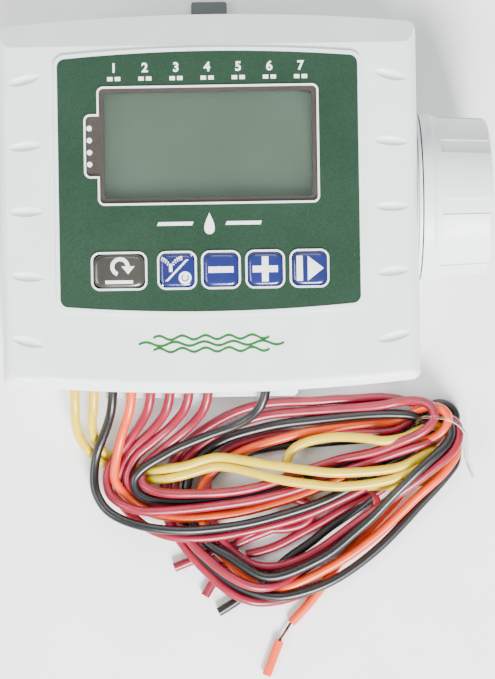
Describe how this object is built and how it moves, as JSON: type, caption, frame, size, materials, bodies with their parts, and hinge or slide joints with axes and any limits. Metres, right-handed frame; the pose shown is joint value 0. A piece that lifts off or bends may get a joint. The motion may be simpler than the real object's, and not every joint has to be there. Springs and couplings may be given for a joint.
{
  "type": "irrigation controller",
  "caption": "Battery irrigation controller: crowned light grey case, green label panel with display and press keys, screw battery cap, wound lead wires and slide-on wall bracket.",
  "frame": {"origin": "middle of the wall bracket's back face", "axes": "+X towards the battery cap, +Y towards the case's top edge, +Z out of the display; it lies on its back"},
  "size_m": [0.1362, 0.2015, 0.055],
  "materials": {
    "case_plastic": "satin moulded ABS",
    "label_green": "satin printed film, fine speckle",
    "bezel_brown": "matte",
    "clear_window": "clear",
    "lcd_glass": "polarised display glass, grey green",
    "lcd_grey": "satin foil",
    "black_rubber": "matte",
    "seal_rubber": "matte",
    "screw_steel": "satin",
    "board_green": "solder mask",
    "chip_black": "matte",
    "can_metal": "satin",
    "capacitor_sleeve": "shrink sleeve",
    "ferrite": "matte",
    "battery_jacket": "printed steel jacket",
    "contact_plated": "plated",
    "pad_foam": "closed-cell foam",
    "bracket_grey": "satin moulded plastic",
    "key_grey": "gloss",
    "key_blue": "gloss",
    "plunger_white": "matte",
    "wire_yellow": "satin insulation",
    "wire_black": "satin insulation",
    "wire_orange": "satin insulation",
    "wire_red": "satin insulation",
    "tie_clear": "clear coated wire",
    "copper_tinned": "tinned copper"
  },
  "bodies": {
    "housing": {"rear_housing": "case_plastic", "front_cover": "case_plastic", "case_gasket": "black_rubber", "case_screws": "screw_steel", "overlay_panel": "label_green", "lcd_bezel": "bezel_brown", "window_lens": "clear_window", "lcd_glass": "lcd_glass", "lcd_reflector": "lcd_grey", "lcd_connectors": "seal_rubber", "main_board": "board_green", "board_screws": "screw_steel", "microcontroller": "chip_black", "driver_chips": "chip_black", "clock_crystal": "can_metal", "reservoir_capacitor": "capacitor_sleeve", "boost_inductor": "ferrite", "tact_switches": "chip_black", "wire_board": "board_green", "board_header": "chip_black", "wire_seal": "seal_rubber", "hole_plugs": "seal_rubber", "battery_sleeve": "case_plastic", "battery": "battery_jacket", "battery_snap": "chip_black", "snap_contacts": "contact_plated", "snap_lead_red": "wire_red", "snap_lead_black": "wire_black", "lead_yellow_a": "wire_yellow", "lead_yellow_b": "wire_yellow", "lead_black_a": "wire_black", "lead_orange": "wire_orange", "lead_red_a": "wire_red", "lead_red_b": "wire_red", "lead_red_c": "wire_red", "lead_red_d": "wire_red", "lead_black_b": "wire_black", "tail_red_a": "wire_red", "tail_red_b": "wire_red", "tail_black": "wire_black", "tail_orange": "wire_orange", "wire_hank": "wire_red", "wire_tie": "tie_clear", "orange_strand": "copper_tinned", "orange_slug": "wire_orange"},
    "cap_seal": {"cap_seal": "black_rubber"},
    "battery_cap": {"battery_cap": "case_plastic", "cap_pad": "pad_foam"},
    "mounting_bracket": {"mounting_bracket": "bracket_grey"},
    "key_mode": {"key_mode": "key_grey", "plunger_mode": "plunger_white"},
    "key_on_off": {"key_on_off": "key_blue", "plunger_on_off": "plunger_white"},
    "key_minus": {"key_minus": "key_blue", "plunger_minus": "plunger_white"},
    "key_plus": {"key_plus": "key_blue", "plunger_plus": "plunger_white"},
    "key_next": {"key_next": "key_blue", "plunger_next": "plunger_white"}
  },
  "joints": [
    {"name": "cap_travel", "type": "slide", "parent": "housing", "child": "cap_seal", "axis": [1, 0, 0], "range_m": [0, 0.008]},
    {"name": "cap_turn", "type": "hinge", "parent": "cap_seal", "child": "battery_cap", "pos_m": [0.06, 0.002, 0.0285], "axis": [1, 0, 0], "range_deg": [0, 720]},
    {"name": "bracket_slide", "type": "slide", "parent": "housing", "child": "mounting_bracket", "axis": [0, -1, 0], "range_m": [0, 0.01]},
    {"name": "mode_press", "type": "slide", "parent": "housing", "child": "key_mode", "axis": [0, 0, -1], "range_m": [0, 0.0005], "stiffness_N_per_m": 2000, "springref_m": -0.0005},
    {"name": "on_off_press", "type": "slide", "parent": "housing", "child": "key_on_off", "axis": [0, 0, -1], "range_m": [0, 0.0005], "stiffness_N_per_m": 2000, "springref_m": -0.0005},
    {"name": "minus_press", "type": "slide", "parent": "housing", "child": "key_minus", "axis": [0, 0, -1], "range_m": [0, 0.0005], "stiffness_N_per_m": 2000, "springref_m": -0.0005},
    {"name": "plus_press", "type": "slide", "parent": "housing", "child": "key_plus", "axis": [0, 0, -1], "range_m": [0, 0.0005], "stiffness_N_per_m": 2000, "springref_m": -0.0005},
    {"name": "next_press", "type": "slide", "parent": "housing", "child": "key_next", "axis": [0, 0, -1], "range_m": [0, 0.0005], "stiffness_N_per_m": 2000, "springref_m": -0.0005}
  ],
  "couplings": [
    {"joint": "cap_travel", "follows": "cap_turn", "m_per_rad": 0.00063662}
  ]
}
